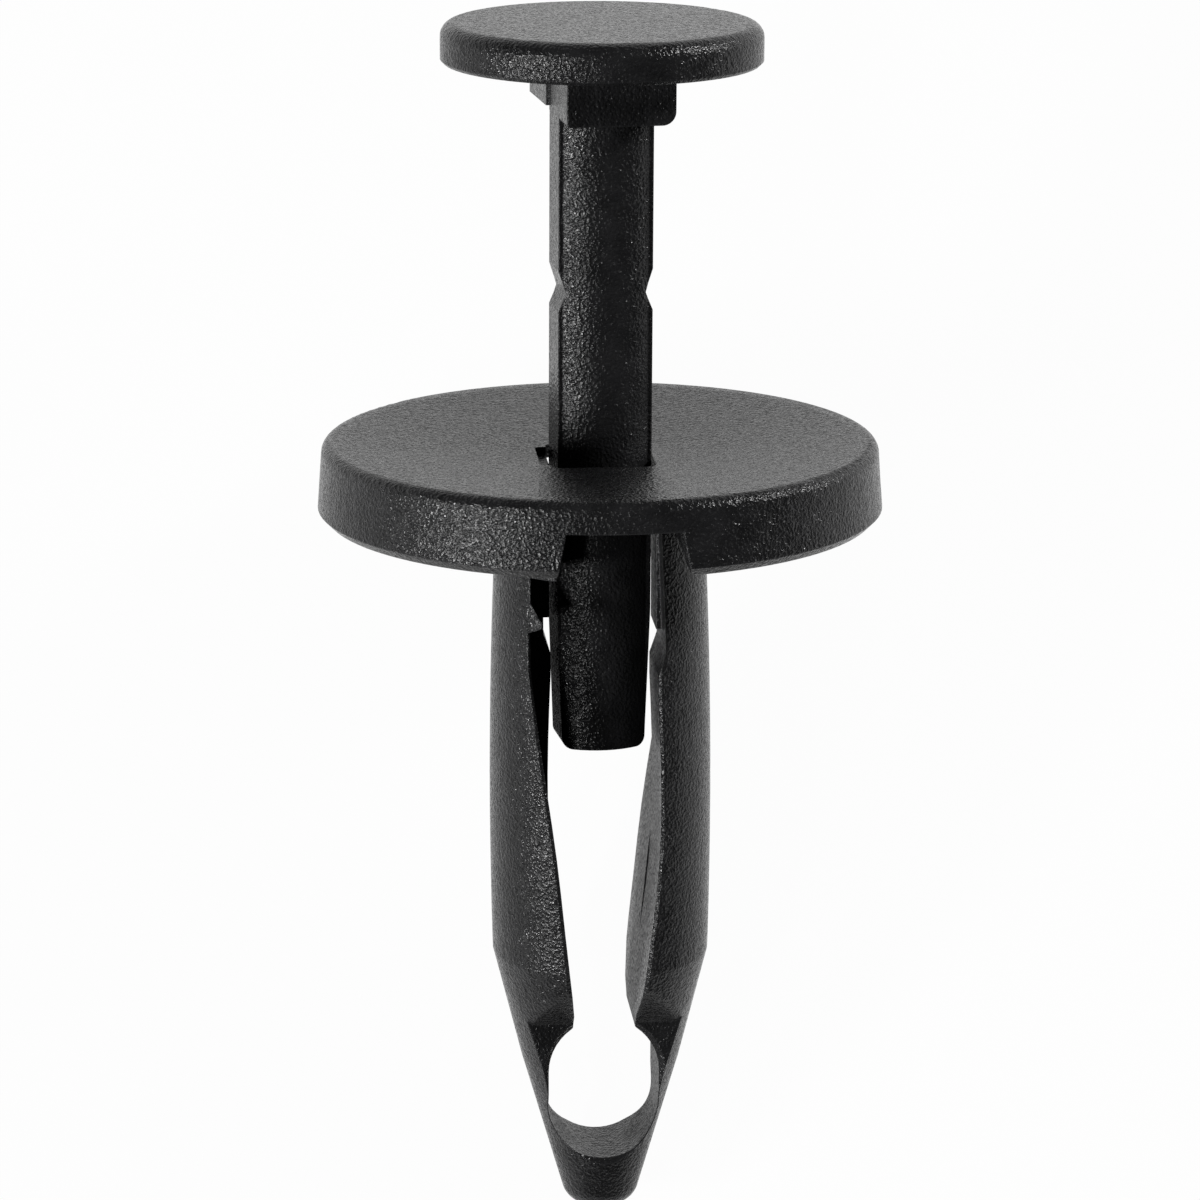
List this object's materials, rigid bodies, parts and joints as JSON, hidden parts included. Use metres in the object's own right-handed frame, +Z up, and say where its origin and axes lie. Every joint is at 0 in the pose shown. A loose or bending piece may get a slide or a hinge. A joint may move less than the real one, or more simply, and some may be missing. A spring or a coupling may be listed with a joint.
{
  "type": "plastic push rivet",
  "caption": "Moulded nylon push rivet with a dished flange, two slotted spring legs joined by a ring tip, and a raised push pin with a round head, lying at rest.",
  "frame": {"origin": "centre of the bounding box's bottom, on the table that the rivet lies on", "axes": "+Y towards the head as the rivet lies, +Z up from the table, +X across the two legs"},
  "size_m": [0.02, 0.0432, 0.0198],
  "materials": {
    "nylon": "spark-eroded moulded texture, black"
  },
  "bodies": {
    "grommet": {"grommet": "nylon"},
    "push_pin": {"push_pin": "nylon"}
  },
  "joints": [
    {"name": "push", "type": "slide", "parent": "grommet", "child": "push_pin", "axis": [0, -0.9508, -0.3099], "range_m": [0, 0.01199], "deforming": ["grommet"]}
  ]
}
